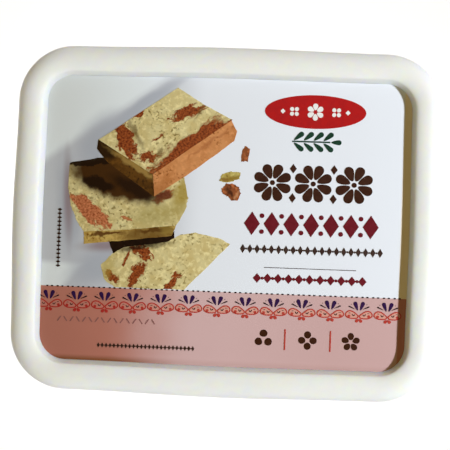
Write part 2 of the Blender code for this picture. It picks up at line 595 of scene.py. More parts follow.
@dataclass(frozen=True)
class HalvaPrint:
    """The printed look of cut halva: mottled cream or brown, with pits, ragged marbling and shadows."""

    name: str
    gloss: FilmGloss
    crumb: Colour
    mottle: Colour
    pit: Colour
    paleness: float = 1.22
    marble: Colour = (0.35, 0.080, 0.018)
    deep_marble: Colour = (0.10, 0.014, 0.004)
    patches: tuple[Oval, ...] = ()
    stains: tuple[Stain, ...] = ()
    mottle_scale: float = 240.0
    pale_scale: float = 760.0
    crowd_scale: float = 110.0
    pit_scale: float = 1050.0
    grit_scale: float = 1500.0
    tear_scale: float = 420.0
    tear: float = 1.6 * MM

    def crumbly(self, sketch: NodeSketch) -> Socket:
        """Mixes the crumb's colour from mottles, pale grains and crowded pits.

        Args:
            sketch: the material under way.

        Returns:
            The crumb's colour.
        """
        mottles = sketch.remap(sketch.noise(self.mottle_scale, 5), (0.38, 0.66))
        grains = sketch.remap(sketch.noise(self.pale_scale, 4), (0.50, 0.66))
        pits = sketch.remap(sketch.noise(self.pit_scale, 4), (0.55, 0.66))
        crowd = sketch.remap(sketch.noise(self.crowd_scale, 3), (0.40, 0.62), (0.10, 0.95))
        red, green, blue = (min(0.95, part * self.paleness) for part in self.crumb)
        colour = sketch.blend(mottles, self.crumb, self.mottle)
        colour = sketch.blend(grains, colour, (red, green, blue))
        return sketch.blend(sketch.maths(Maths.MULTIPLY, pits, crowd), colour, self.pit)

    def make(self) -> bpy.types.Material:
        """Returns the halva's printed material.

        Returns:
            The material.
        """
        sketch = NodeSketch(self.name)
        colour = self.crumbly(sketch)
        place = sketch.ragged_place(self.tear_scale, self.tear)
        grit = sketch.remap(sketch.noise(self.grit_scale, 6), (0.38, 0.66))
        marble = sketch.blend(grit, self.marble, self.deep_marble)
        for patch in self.patches:
            edge = sketch.maths(Maths.MULTIPLY, sketch.oval(patch, place, 0.34, patch.ragged), 0.5)
            colour = sketch.blend(edge, colour, self.pit)
            colour = sketch.blend(sketch.oval(patch, place, 0.12, patch.ragged), colour, marble)
        for stain in self.stains:
            share = sketch.maths(Maths.MULTIPLY, sketch.oval(stain.oval, place, stain.softness), stain.cover)
            colour = sketch.blend(share, colour, stain.colour)
        return self.gloss.coat(sketch, colour)


class Bench:
    """One mesh under the hand: a primitive that edit mode's operators then shape."""

    LEAST_STEP = 1e-7
    LEVEL_NORMAL = 0.9

    item: bpy.types.Object

    def __init__(self, name: str) -> None:
        """Clears the selection, so that only the new primitive is shaped.

        Args:
            name: the piece's name.
        """
        bpy.ops.object.select_all(action="DESELECT")
        self.name = name

    def take(self) -> "Bench":
        """Names the primitive that was just added and opens it in edit mode.

        Returns:
            The same bench.
        """
        self.item = bpy.context.active_object
        self.item.name = self.item.data.name = self.name
        bpy.ops.object.transform_apply(location=True, rotation=True, scale=True)
        bpy.ops.object.mode_set(mode="EDIT")
        return self

    def pick(self, kind: Pick, test: Callable[[object], bool]) -> None:
        """Selects the elements of one kind that pass a test.

        Args:
            kind: vertices, edges or faces.
            test: tells whether an element is wanted.
        """
        bpy.ops.mesh.select_mode(type=kind.value)
        bpy.ops.mesh.select_all(action="DESELECT")
        mesh = bmesh.from_edit_mesh(self.item.data)
        elements = {Pick.VERT: mesh.verts, Pick.EDGE: mesh.edges, Pick.FACE: mesh.faces}[kind]
        for element in elements:
            element.select_set(bool(test(element)))
        bmesh.update_edit_mesh(self.item.data)

    def pick_level(self, facing: int) -> None:
        """Selects the level faces that look up, with 1, or down, with -1."""
        self.pick(Pick.FACE, lambda face: facing * face.normal.z > self.LEVEL_NORMAL)

    def follow(self, section: Section, facing: int) -> None:
        """Draws the picked level face in, up or down through the points of a section.

        Args:
            section: (inset, height) points, the first being where the face is.
            facing: 1 for a face that looks up, -1 for one that looks down.
        """
        for (inset, height), (next_inset, next_height) in zip(section, section[1:]):
            rise = next_height - height
            if next_inset - inset > self.LEAST_STEP:
                bpy.ops.mesh.inset(thickness=next_inset - inset, depth=facing * rise, use_even_offset=True)
            else:
                bpy.ops.mesh.extrude_region_move(TRANSFORM_OT_translate={"value": (0, 0, rise)})

    def close(self, smooth_angle: float = 38.0) -> bpy.types.Object:
        """Leaves edit mode, turns the faces outwards and shades the round stretches smooth.

        Args:
            smooth_angle: the sharpest edge in degrees that is still shaded smooth.

        Returns:
            The finished object.
        """
        bpy.ops.mesh.select_all(action="SELECT")
        bpy.ops.mesh.normals_make_consistent(inside=False)
        bpy.ops.object.mode_set(mode="OBJECT")
        bpy.ops.object.select_all(action="DESELECT")
        self.item.select_set(True)
        bpy.context.view_layer.objects.active = self.item
        bpy.ops.object.shade_smooth_by_angle(angle=math.radians(smooth_angle))
        return self.item


def quarter_round(start: Point, end: Point, steps: int, level_first: bool) -> list[Point]:
    """Returns section points after start up to end, along a quarter of an ellipse.

    Args:
        start: the (inset, height) that the curve leaves.
        end: the (inset, height) that it reaches.
        steps: how many points it has.
        level_first: whether it leaves start level and reaches end upright, or the other way round.

    Returns:
        The points, without start.
    """
    points = []
    for step in range(1, steps + 1):
        angle = math.pi / 2 * step / steps
        level = math.sin(angle) if level_first else 1 - math.cos(angle)
        upright = 1 - math.cos(angle) if level_first else math.sin(angle)
        points.append((start[0] + (end[0] - start[0]) * level, start[1] + (end[1] - start[1]) * upright))
    return points


def ride(piece: bpy.types.Object, material: bpy.types.Material) -> bpy.types.Object:
    """Dresses a finished piece and sets it on the tub's body.

    Args:
        piece: the finished object.
        material: its material.

    Returns:
        The same object.
    """
    piece.data.materials.clear()
    piece.data.materials.append(material)
    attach(piece, BODY)
    return piece


@dataclass
class PlanShape:
    """The tub's outline from above: a rounded rectangle whose sides swell a little at their middles."""

    corner: float = 18.0 * MM
    outer_swell: float = 0.75 * MM
    label_swell: float = 0.36 * MM
    rim_width: float = 10.2 * MM
    corner_steps: int = 16
    side_cuts: int = 13

    @property
    def half_width(self) -> float:
        """Half of the width between the straight ends of the sides."""
        return WIDTH / 2 - self.outer_swell

    @property
    def half_depth(self) -> float:
        """Half of the depth between the straight ends of the sides."""
        return DEPTH / 2 - self.outer_swell

    @property
    def tightening(self) -> float:
        """How far a straight side moves in for each unit of inset, as the swell gets less."""
        return 1 - (self.outer_swell - self.label_swell) / self.rim_width

    def drawn(self, section: Section) -> list[Point]:
        """Returns a section whose insets are those of the sides' straight ends.

        Args:
            section: (inset, height) points measured at the swollen middles.

        Returns:
            The points that the inset operator follows.
        """
        return [(inset * self.tightening, height) for inset, height in section]

    def block(self, name: str, low: float, high: float, inset: float = 0.0) -> Bench:
        """Makes a low block with the plan's rounded corners.

        Args:
            name: the piece's name.
            low: the height of its underside.
            high: the height of its top.
            inset: how far it lies inside the widest outline.

        Returns:
            The bench that holds it, in edit mode.
        """
        bench = Bench(name)
        bpy.ops.mesh.primitive_cube_add(size=1, location=(0, 0, (low + high) / 2))
        drawn_inset = inset * self.tightening
        size = (2 * (self.half_width - drawn_inset), 2 * (self.half_depth - drawn_inset), high - low)
        bpy.ops.transform.resize(value=size)
        bench.take()
        bench.pick(Pick.EDGE, lambda edge: abs(edge.verts[0].co.z - edge.verts[1].co.z) > bench.LEAST_STEP)
        radius = self.corner - drawn_inset
        bpy.ops.mesh.bevel(
            offset=radius, offset_pct=0, affect="EDGES", segments=self.corner_steps, profile=0.5
        )
        bench.pick(Pick.EDGE, lambda edge: edge.calc_length() > 2 * radius and edge.is_manifold)
        bpy.ops.mesh.subdivide(number_cuts=self.side_cuts)
        return bench

    def swell(self, bench: Bench) -> None:
        """Pushes each side out at its middle, less the nearer a point is to the label.

        Args:
            bench: the mesh, in edit mode, with straight sides.
        """
        straight = (self.half_depth - self.corner, self.half_width - self.corner)
        half = (self.half_width, self.half_depth)
        mesh = bmesh.from_edit_mesh(bench.item.data)
        for vert in mesh.verts:
            for axis in (0, 1):
                across, level = abs(vert.co[axis]), abs(vert.co[1 - axis])
                if level >= straight[axis] or across < half[axis] - self.corner:
                    continue
                inset = (half[axis] - across) / self.tightening
                push = self.outer_swell + (self.label_swell - self.outer_swell) * inset / self.rim_width
                push *= (1 + math.cos(math.pi * level / straight[axis])) / 2
                vert.co[axis] += math.copysign(max(push, 0.0), vert.co[axis])
        bmesh.update_edit_mesh(bench.item.data)


@dataclass
class Lid:
    """The lid: a skirt with a rounded lip, a broad rolled bead and a sunken panel that the film lies on."""

    plan: PlanShape
    skirt_bottom: float
    panel: float
    finish: MouldedPlastic
    wall: float = 1.2 * MM
    draft: float = 0.2 * MM
    lip_round: float = 0.25 * MM
    crest_inset: float = 5.2 * MM
    outer_drop: float = 4.4 * MM
    inner_drop: float = 1.3 * MM
    shoulder_inset: float = 9.0 * MM
    panel_fillet: float = 0.22 * MM
    panel_margin: float = 0.1 * MM
    groove_chamfer: float = 0.75 * MM
    outer_steps: int = 16
    inner_steps: int = 9
    round_steps: int = 4

    def outside(self) -> list[Point]:
        """Returns the section from the skirt up over the bead and down into the panel.

        Returns:
            The (inset, height) points.
        """
        foot = (self.draft, HEIGHT - self.outer_drop)
        crest = (self.crest_inset, HEIGHT)
        shoulder = (self.shoulder_inset, HEIGHT - self.inner_drop)
        wall_foot = (self.plan.rim_width - self.panel_fillet / 2, self.panel + self.panel_fillet)
        panel_edge = (self.plan.rim_width + self.panel_fillet / 2, self.panel)
        section = [(0.0, self.skirt_bottom + 2 * self.lip_round), foot]
        section += quarter_round(foot, crest, self.outer_steps, level_first=False)
        section += quarter_round(crest, shoulder, self.inner_steps, level_first=True)
        section.append(wall_foot)
        section += quarter_round(wall_foot, panel_edge, self.round_steps, level_first=False)
        section.append((panel_edge[0] + self.panel_margin, self.panel))
        return section

    def inside(self) -> list[Point]:
        """Returns the section from the skirt's lip up into the groove and under the panel.

        Returns:
            The (inset, height) points.
        """
        lip = self.lip_round
        bottom = self.skirt_bottom
        inner = self.draft + self.wall
        groove = HEIGHT - self.inner_drop - self.wall
        start = (0.0, bottom + lip)
        end = (inner - lip, bottom)
        section = [start]
        section += quarter_round(start, (lip, bottom), self.round_steps, level_first=False)
        section.append(end)
        section += quarter_round(end, (inner, bottom + lip), self.round_steps, level_first=True)
        section.append((inner, groove - self.groove_chamfer))
        section.append((inner + self.groove_chamfer, groove))
        section.append((self.shoulder_inset - self.wall, groove))
        section.append((self.plan.rim_width - self.wall, self.panel - self.wall))
        return section

    def build(self) -> list[bpy.types.Object]:
        """Models the lid and dresses it.

        Returns:
            The lid alone, which stands for the solid lid.
        """
        low = self.skirt_bottom + self.lip_round
        bench = self.plan.block("lid_shell", low, low + self.lip_round)
        bench.pick_level(1)
        bench.follow(self.plan.drawn(self.outside()), 1)
        bench.pick_level(-1)
        bench.follow(self.plan.drawn(self.inside()), -1)
        self.plan.swell(bench)
        lid = ride(bench.close(), self.finish.make())
        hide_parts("lid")
        return [lid]


@dataclass
class Tub:
    """The tub under the lid: a rim, a shoulder under the lid's skirt, a tapered wall and a foot ring."""

    plan: PlanShape
    finish: MouldedPlastic
    rim_inset: float = 1.7 * MM
    shoulder_height: float = 22.2 * MM
    shoulder_step: float = 1.4 * MM
    shoulder_round: float = 0.9 * MM
    wall_taper: float = 3.0 * MM
    wall_steps: int = 5
    base_round: float = 4.0 * MM
    foot_width: float = 3.0 * MM
    foot_height: float = 0.8 * MM
    foot_margin: float = 0.3 * MM
    rim_top: float = TUB_TOP
    rim_round: float = 0.8 * MM
    rim_inside: float = 7.5 * MM
    filled_inset: float = 8.7 * MM
    filled_top: float = 27.1 * MM
    lip_round: float = 0.2 * MM
    round_steps: int = 4
    lip_steps: int = 3
    shoulder_steps: int = 6
    base_steps: int = 9

    def above(self) -> list[Point]:
        """Returns the section from the shoulder up to the rim and over onto the filled top.

        Returns:
            The (inset, height) points.
        """
        rim = (self.rim_inset, self.rim_top - self.rim_round)
        rim_edge = (self.rim_inset + self.rim_round, self.rim_top)
        section = [(self.rim_inset, self.shoulder_height + 2 * self.lip_round), rim]
        section += quarter_round(rim, rim_edge, self.round_steps, level_first=False)
        section.append((self.rim_inside, self.rim_top))
        section.append((self.filled_inset, self.filled_top))
        return section

    def shoulder(self) -> list[Point]:
        """Returns the section from the rim's lower edge in under the shoulder to the top of the wall.

        Returns:
            The (inset, height) points.
        """
        start = (self.rim_inset, self.shoulder_height + self.lip_round)
        below = (self.rim_inset + self.lip_round, self.shoulder_height)
        wall_top = (self.rim_inset + self.shoulder_step, self.shoulder_height - self.shoulder_round)
        section = [start]
        section += quarter_round(start, below, self.lip_steps, level_first=False)
        section += quarter_round(below, wall_top, self.shoulder_steps, level_first=True)
        return section

    def wall(self) -> None:
        """Draws the picked face down the tapered wall, a little smaller at each step."""
        top = self.shoulder_height - self.shoulder_round
        top_inset = self.rim_inset + self.shoulder_step
        drop = (top - self.base_round) / self.wall_steps
        for step in range(1, self.wall_steps + 1):
            before = top_inset + self.wall_taper * (step - 1) / self.wall_steps
            after = top_inset + self.wall_taper * step / self.wall_steps
            scale = [(half - after) / (half - before) for half in (WIDTH / 2, DEPTH / 2)]
            bpy.ops.mesh.extrude_region_move(TRANSFORM_OT_translate={"value": (0, 0, -drop)})
            bpy.ops.transform.resize(value=(*scale, 1), center_override=(0, 0, top - drop * step))

    def foot(self) -> list[Point]:
        """Returns the section from the wall's bottom round the base to the foot ring and up inside it.

        Returns:
            The (inset, height) points.
        """
        bottom = (self.rim_inset + self.shoulder_step + self.wall_taper, self.base_round)
        edge = (bottom[0] + self.base_round, 0.0)
        inner = (edge[0] + self.foot_width, 0.0)
        section = [bottom]
        hollow = (inner[0] + self.foot_height, self.foot_height)
        section += quarter_round(bottom, edge, self.base_steps, level_first=False)
        section.append(inner)
        section += quarter_round(inner, hollow, self.round_steps, level_first=True)
        section.append((hollow[0] + self.foot_margin, self.foot_height))
        return section

    def build(self) -> list[bpy.types.Object]:
        """Models the tub and dresses it.

        Returns:
            The tub alone, which stands for the solid tub.
        """
        low = self.shoulder_height + self.lip_round
        bench = self.plan.block("tub_shell", low, low + self.lip_round, self.rim_inset)
        bench.pick_level(1)
        bench.follow(self.plan.drawn(self.above()), 1)
        bench.pick_level(-1)
        bench.follow(self.plan.drawn(self.shoulder()), -1)
        self.wall()
        bench.follow(self.foot(), -1)
        self.plan.swell(bench)
        tub = ride(bench.close(), self.finish.make())
        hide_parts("tub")
        return [tub]


@dataclass
class Film:
    """The printed film that fills the sunken panel."""

    plan: PlanShape
    finish: FilmPrint
    thickness: float = 0.12 * MM
    clearance: float = 0.06 * MM
    edge_round: float = 0.03 * MM
    edge_steps: int = 3
    bed_gap: float = 0.01 * MM

    @property
    def bed(self) -> float:
        """The height of the panel that the film lies on."""
        return FILM_TOP - self.thickness - self.bed_gap

    def build(self) -> list[bpy.types.Object]:
        """Models the film and dresses it.

        Returns:
            The film alone, which stands for the solid label.
        """
        inset = self.plan.rim_width - self.clearance
        bottom = FILM_TOP - self.thickness
        bench = self.plan.block("label_film", bottom, FILM_TOP - self.edge_round, inset)
        bench.pick_level(1)
        start = (inset, FILM_TOP - self.edge_round)
        end = (inset + self.edge_round, FILM_TOP)
        section = [start]
        section += quarter_round(start, end, self.edge_steps, level_first=False)
        section.append((inset + 4 * self.edge_round, FILM_TOP))
        bench.follow(self.plan.drawn(section), 1)
        self.plan.swell(bench)
        film = ride(bench.close(), self.finish.make())
        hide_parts("label")
        return [film]


class Layer(Enum):
    """How thick an ink is, in steps, so that a later one shows over an earlier one."""

    GROUND = 1
    FIELD = 3
    FRONT = 5
    DETAIL = 7


def motion(x: float, y: float, turn: float) -> Matrix:
    """Returns a turn about the origin in degrees and then a move in millimetres, as one matrix."""
    return Matrix.Translation((x * MM, y * MM, 0)) @ Matrix.Rotation(math.radians(turn), 4, "Z")


class Stamp:
    """One flat printed shape, made from a primitive and shaped by hand in edit mode."""

    DROP_SIDES = 28
    DROP_PULL = 1.45
    BAR_ROUNDING = 0.46

    @staticmethod
    def disc(x: float, y: float, radius: float, sides: int = 20) -> bpy.types.Object:
        """Prints a round spot.

        Args:
            x: its centre's x in millimetres.
            y: its centre's y in millimetres.
            radius: its radius in millimetres.
            sides: how many sides it is drawn with.

        Returns:
            The flat shape.
        """
        bpy.ops.object.select_all(action="DESELECT")
        bpy.ops.mesh.primitive_circle_add(
            vertices=sides, radius=radius * MM, fill_type="NGON", location=(x * MM, y * MM, 0)
        )
        item = bpy.context.active_object
        bpy.ops.object.transform_apply(location=True, rotation=True, scale=True)
        return item

    @staticmethod
    def drop(x: float, y: float, radius: float, tip: float, turn: float) -> bpy.types.Object:
        """Prints a drop with a round head and one point.

        Args:
            x: its tip's x in millimetres.
            y: its tip's y in millimetres.
            radius: the head's radius in millimetres.
            tip: from the head's centre to the tip, in millimetres.
            turn: where the head points, in degrees from straight up, positive to the left.

        Returns:
            The flat shape.
        """
        bpy.ops.object.select_all(action="DESELECT")
        bpy.ops.mesh.primitive_circle_add(vertices=Stamp.DROP_SIDES, radius=radius * MM, fill_type="NGON")
        item = bpy.context.active_object
        bpy.ops.object.mode_set(mode="EDIT")
        bpy.ops.mesh.select_mode(type="VERT")
        bpy.ops.mesh.select_all(action="DESELECT")
        mesh = bmesh.from_edit_mesh(item.data)
        min(mesh.verts, key=lambda vert: vert.co.y).select_set(True)
        bmesh.update_edit_mesh(item.data)
        bpy.ops.transform.translate(
            value=(0, -(tip - radius) * MM, 0),
            use_proportional_edit=True,
            proportional_edit_falloff="SMOOTH",
            proportional_size=Stamp.DROP_PULL * radius * MM,
        )
        bpy.ops.mesh.select_all(action="SELECT")
        bpy.ops.transform.translate(value=(0, tip * MM, 0))
        bpy.ops.object.mode_set(mode="OBJECT")
        item.matrix_world = motion(x, y, turn)
        bpy.ops.object.transform_apply(location=True, rotation=True, scale=True)
        return item

    @staticmethod
    def bar(x: float, y: float, length: float, width: float, turn: float = 0.0) -> bpy.types.Object:
        """Prints a short bar with round ends.

        Args:
            x: its centre's x in millimetres.
            y: its centre's y in millimetres.
            length: its length in millimetres.
            width: its width in millimetres.
            turn: its turn in degrees.

        Returns:
            The flat shape.
        """
        bpy.ops.object.select_all(action="DESELECT")
        bpy.ops.mesh.primitive_plane_add(size=1)
        item = bpy.context.active_object
        item.scale = (length * MM, width * MM, 1)
        bpy.ops.object.transform_apply(location=True, rotation=True, scale=True)
        bpy.ops.object.mode_set(mode="EDIT")
        bpy.ops.mesh.select_all(action="SELECT")
        offset = Stamp.BAR_ROUNDING * min(width, length) * MM
        bpy.ops.mesh.bevel(offset=offset, offset_pct=0, affect="VERTICES", segments=4)
        bpy.ops.object.mode_set(mode="OBJECT")
        item.matrix_world = motion(x, y, turn)
        bpy.ops.object.transform_apply(location=True, rotation=True, scale=True)
        return item

    @staticmethod
    def field(
        corners: Sequence[Point], cuts: int = 0, jitter: float = 0.0, seed: int = 0, rounding: float = 0.0
    ) -> bpy.types.Object:
        """Prints a field with straight, rounded or crumbled edges between its corners.

        Args:
            corners: the corners in millimetres.
            cuts: how many points each edge is cut at.
            jitter: how far those points wander, in millimetres.
            seed: the seed of their wandering.
            rounding: how much of each corner is rounded off, in millimetres.

        Returns:
            The flat shape.
        """
        bpy.ops.object.select_all(action="DESELECT")
        bpy.ops.mesh.primitive_circle_add(vertices=len(corners), radius=MM, fill_type="NGON")
        item = bpy.context.active_object
        bpy.ops.object.mode_set(mode="EDIT")
        bpy.ops.mesh.select_mode(type="VERT")
        for index, corner in enumerate(corners):
            bpy.ops.mesh.select_all(action="DESELECT")
            mesh = bmesh.from_edit_mesh(item.data)
            mesh.verts.ensure_lookup_table()
            vert = mesh.verts[index]
            vert.select_set(True)
            move = (corner[0] * MM - vert.co.x, corner[1] * MM - vert.co.y, 0)
            bmesh.update_edit_mesh(item.data)
            bpy.ops.transform.translate(value=move)
        bpy.ops.mesh.select_all(action="SELECT")
        if rounding:
            bpy.ops.mesh.bevel(offset=rounding * MM, offset_pct=0, affect="VERTICES", segments=2)
            bpy.ops.mesh.select_all(action="SELECT")
        if cuts:
            bpy.ops.mesh.select_mode(type="EDGE")
            bpy.ops.mesh.subdivide(number_cuts=cuts)
            bpy.ops.transform.vertex_random(offset=jitter * MM, seed=seed)
            bpy.ops.transform.resize(value=(1, 1, 0), center_override=(0, 0, 0))
        bpy.ops.mesh.normals_make_consistent(inside=False)
        bpy.ops.object.mode_set(mode="OBJECT")
        return item


def copied(item: bpy.types.Object, x: float = 0.0, y: float = 0.0, turn: float = 0.0) -> bpy.types.Object:
    """Copies a flat shape with a mesh of its own, turned about the origin and then moved.

    Args:
        item: the shape.
        x: the move along X in millimetres.
        y: the move along Y in millimetres.
        turn: the turn in degrees.

    Returns:
        The copy.
    """
    copy = item.copy()
    copy.data = item.data.copy()
    copy.data.transform(motion(x, y, turn))
    bpy.context.scene.collection.objects.link(copy)
    return copy


def mirrored(item: bpy.types.Object) -> bpy.types.Object:
    """Copies a flat shape to the other side of X = 0 and keeps it facing up.

    Args:
        item: the shape.

    Returns:
        The copy.
    """
    copy = copied(item)
    copy.data.transform(Matrix.Diagonal((-1, 1, 1, 1)))
    copy.data.flip_normals()
    return copy


def print_layer(
    name: str, shapes: Sequence[bpy.types.Object], layer: Layer, material: bpy.types.Material
) -> bpy.types.Object:
    """Joins flat shapes into one thin printed piece on the film.

    Args:
        name: the piece's name.
        shapes: the flat shapes at height 0.
        layer: how thick the ink is.
        material: the ink.

    Returns:
        The printed piece.
    """
    bpy.ops.object.select_all(action="DESELECT")
    for shape in shapes:
        shape.select_set(True)
    bpy.context.view_layer.objects.active = shapes[0]
    if len(shapes) > 1:
        bpy.ops.object.join()
    piece = bpy.context.active_object
    piece.name = piece.data.name = name
    bpy.ops.object.mode_set(mode="EDIT")
    bpy.ops.mesh.select_all(action="SELECT")
    bpy.ops.transform.translate(value=(0, 0, FILM_TOP + INK_GAP))
    bpy.ops.mesh.select_mode(type="FACE")
    bpy.ops.mesh.select_all(action="DESELECT")
    mesh = bmesh.from_edit_mesh(piece.data)
    for face in mesh.faces:
        face.select_set(face.normal.z < 0)
    bmesh.update_edit_mesh(piece.data)
    bpy.ops.mesh.flip_normals()
    bpy.ops.object.mode_set(mode="OBJECT")
    thickness = piece.modifiers.new("ink", "SOLIDIFY")
    thickness.thickness = layer.value * INK_STEP
    thickness.offset = 1.0
    bpy.ops.object.modifier_apply(modifier=thickness.name)
    return ride(piece, material)


@dataclass
class Border:
    """The folk border at the top of the pink band: a dotted line over a row of winged scrolls with drops."""

    inks: dict[str, Ink]
    line: float = -21.95
    row: float = -27.72
    first: float = -54.86
    pitch: float = 8.90
    repeats: int = 13
    wing_rounding: float = 0.28
    wing_outline: float = 0.37
    wing_corners: Sequence[Point] = (
        (0.08, -0.02), (-1.15, 1.03), (-2.05, 1.55), (-2.95, 1.70), (-3.70, 1.42), (-4.24, 0.80),
        (-4.38, 0.15), (-4.05, -0.48), (-3.35, -0.90), (-2.35, -1.10), (-1.30, -1.08), (-0.30, -0.90),
    )
    lobe: Sequence[float] = (-0.13, -1.05, 0.50, 0.80, 140)
    eye: Sequence[float] = (-3.09, -0.18, 0.46)
    big_drop: Sequence[float] = (-0.40, 1.62, 0.62, 2.30, 20)
    thin_drop: Sequence[float] = (-1.18, 1.97, 0.21, 2.05, 65)
    dashes: Sequence[Sequence[float]] = (
        (-1.92, 0.20, 0.72, 0.26, -62), (-1.42, 0.12, 0.66, 0.26, 50), (-2.90, 0.76, 0.62, 0.17),
    )
    speck: Sequence[float] = (-2.43, 3.50, 0.12, 10)
    dot_pitch: float = 3.32
    dot_reach: float = 0.75
    dot_size: Point = (0.70, 0.44)
    line_margin: float = 1.6

    def spread(self, shapes: Sequence[bpy.types.Object]) -> list[bpy.types.Object]:
        """Copies a motif's shapes along the border.

        Args:
            shapes: the motif's shapes about the origin, which are used up.

        Returns:
            The copies.
        """
        copies = []
        for index in range(self.repeats):
            copies += [copied(shape, self.first + self.pitch * index, self.row) for shape in shapes]
        for shape in shapes:
            bpy.data.objects.remove(shape, do_unlink=True)
        return copies

    def wing(self) -> tuple[bpy.types.Object, bpy.types.Object]:
        """Models one wing of the scroll, as an outline and the field inside it.

        Returns:
            The outline and the field.
        """
        item = Stamp.field(self.wing_corners, rounding=self.wing_rounding)
        bpy.ops.object.mode_set(mode="EDIT")
        bpy.ops.mesh.select_mode(type="FACE")
        bpy.ops.mesh.select_all(action="SELECT")
        bpy.ops.mesh.inset(thickness=self.wing_outline * MM, depth=0, use_even_offset=True)
        bpy.ops.mesh.separate(type="SELECTED")
        bpy.ops.object.mode_set(mode="OBJECT")
        field = next(other for other in bpy.context.selected_objects if other != item)
        return item, field

    def dotted_line(self) -> list[bpy.types.Object]:
        """Prints the line of paired dots over the row.

        Returns:
            The dots.
        """
        dots = []
        half_label = (LABEL_HIGH.x - LABEL_LOW.x) / 2 / MM
        count = int(2 * (half_label - self.line_margin) / self.dot_pitch)
        for index in range(count + 1):
            x = (index - count / 2) * self.dot_pitch
            dots += [Stamp.bar(x + side * self.dot_reach, self.line, *self.dot_size) for side in (-1, 1)]
        return dots

    def build(self) -> list[bpy.types.Object]:
        """Models the motif once, copies it along the band and prints each ink.

        Returns:
            The printed pieces.
        """
        outline, field = self.wing()
        lobe = Stamp.drop(*self.lobe)
        eye = Stamp.disc(*self.eye)
        red = self.spread([outline, mirrored(outline), lobe, mirrored(lobe), eye, mirrored(eye)])
        pieces = [print_layer("border_red", red, Layer.FRONT, self.inks["red"].make())]
        peach = self.spread([field, mirrored(field)])
        pieces.append(print_layer("border_field", peach, Layer.FIELD, self.inks["peach"].make()))
        drop = Stamp.drop(*self.big_drop)
        violet = self.spread([drop, mirrored(drop)])
        pieces.append(print_layer("border_drops", violet, Layer.FRONT, self.inks["violet"].make()))
        thin = [Stamp.drop(*self.thin_drop)]
        thin += [Stamp.bar(*dash) for dash in self.dashes]
        thin.append(Stamp.disc(*self.speck))
        thin += [mirrored(shape) for shape in thin]
        dots = self.dotted_line()
        black = self.spread(thin) + dots
        pieces.append(print_layer("border_black", black, Layer.DETAIL, self.inks["black"].make()))
        return pieces


@dataclass
class PictureSlice:
    """One slice of halva in the printed picture: its outline in millimetres and its printed look."""

    name: str
    corners: Sequence[Point]
    layer: Layer
    look: HalvaPrint
    seed: int
    cuts: int = 7
    jitter: float = 0.16

    def build(self) -> bpy.types.Object:
        """Prints the slice and returns it."""
        shape = Stamp.field(self.corners, self.cuts, self.jitter, self.seed)
        return print_layer(self.name, [shape], self.layer, self.look.make())


